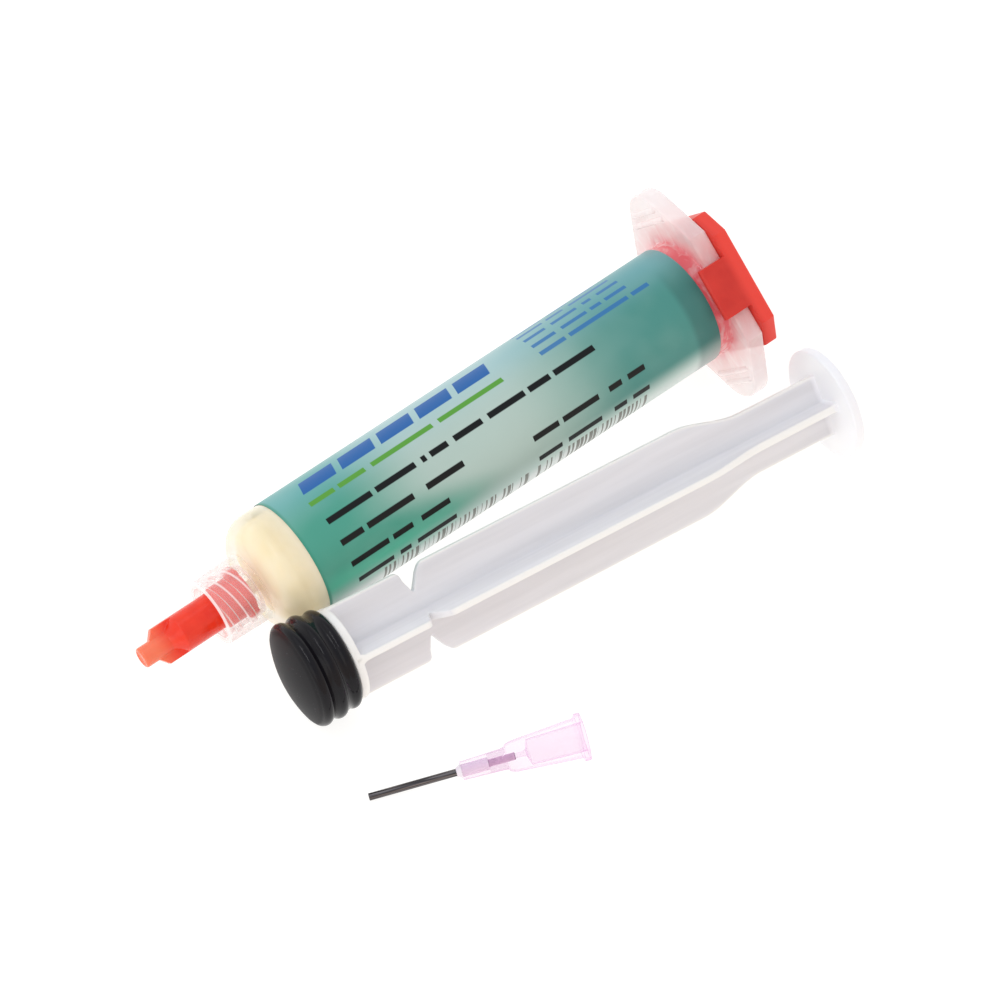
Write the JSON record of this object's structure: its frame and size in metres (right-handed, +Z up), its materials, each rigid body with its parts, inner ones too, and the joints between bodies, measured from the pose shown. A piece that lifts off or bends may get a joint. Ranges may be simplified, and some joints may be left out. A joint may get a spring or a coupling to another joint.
{
  "type": "flux syringe",
  "caption": "Flux syringe laid out for use: capped dispensing barrel with label and ear flange, cross-ribbed plunger with rubber piston, and a blunt needle.",
  "frame": {"origin": "point of the table under the middle of the whole group's box", "axes": "+Z up from the table, +X along the barrel from its nose to its finger flange, +Y from the plunger towards the barrel"},
  "size_m": [0.1076, 0.0643, 0.0266],
  "materials": {
    "clear_plastic": "clear moulded polypropylene, glossy",
    "label_film": "semi-gloss printed film",
    "flux_paste": "wet, glossy paste",
    "red_plastic": "moulded polyethylene, glossy",
    "milky_plastic": "milky moulded polypropylene, satin",
    "black_rubber": "satin",
    "pink_plastic": "tinted clear polypropylene, glossy",
    "needle_steel": "drawn stainless steel",
    "clear_adhesive": "cured adhesive, glossy"
  },
  "bodies": {
    "barrel": {"barrel": "clear_plastic", "label": "label_film", "flux": "flux_paste", "plunger_rod": "milky_plastic", "piston": "black_rubber", "needle_hub": "pink_plastic", "needle_tube": "needle_steel", "needle_bond": "clear_adhesive"},
    "tip_cap": {"tip_cap": "red_plastic"},
    "end_cap": {"end_cap": "red_plastic"}
  },
  "joints": [
    {"name": "tip_cap_slide", "type": "slide", "parent": "barrel", "child": "tip_cap", "axis": [-0.9988, 0, -0.05], "range_m": [0, 0.01]},
    {"name": "end_cap_slide", "type": "slide", "parent": "barrel", "child": "end_cap", "axis": [0.9988, 0, 0.05], "range_m": [0, 0.014]}
  ]
}
